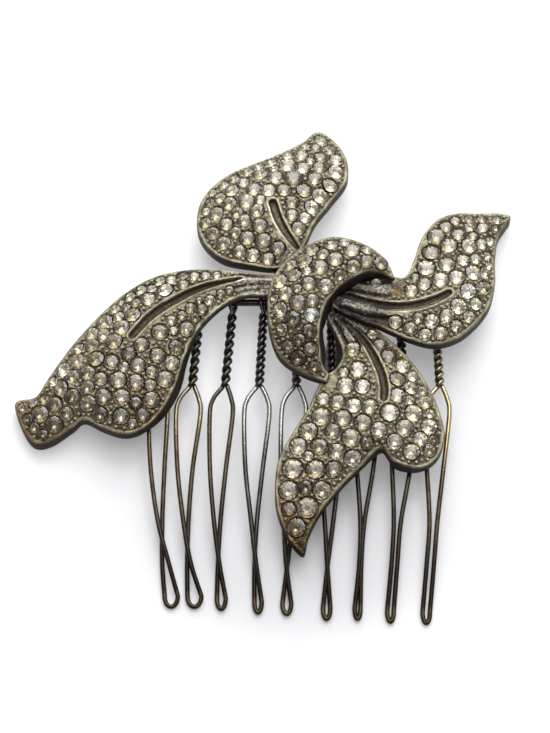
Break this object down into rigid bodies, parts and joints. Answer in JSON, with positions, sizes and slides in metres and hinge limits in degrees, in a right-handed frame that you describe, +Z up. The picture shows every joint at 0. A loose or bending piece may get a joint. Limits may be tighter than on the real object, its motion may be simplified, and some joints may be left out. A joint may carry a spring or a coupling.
{
  "type": "bridal hair comb",
  "caption": "Wire hair comb with twisted hairpin teeth under a spray of cast petals paved with round stones.",
  "frame": {"origin": "on the surface the comb lies on, under the middle of its box", "axes": "+Z up from that surface out of the comb's face, -Y along the teeth to their tips, +X to the right seen from the face"},
  "size_m": [0.0704, 0.0746, 0.0112],
  "materials": {
    "casting": "aged silver-toned casting, worn bright on its rims and dark in its recesses",
    "strip": "plain dull strip",
    "wire": "darkened drawn wire with glints of brass",
    "stone": "faceted glass on aged foil"
  },
  "bodies": {
    "root": {"upper_petal": "casting", "left_petal": "casting", "centre_curl": "casting", "right_petal": "casting", "lower_petal": "casting", "mounting_strip": "strip", "comb_bar": "wire", "tooth_1": "wire", "tooth_2": "wire", "tooth_3": "wire", "tooth_4": "wire", "tooth_5": "wire", "tooth_6": "wire", "tooth_7": "wire", "tooth_8": "wire", "tooth_9": "wire"}
  },
  "joints": []
}
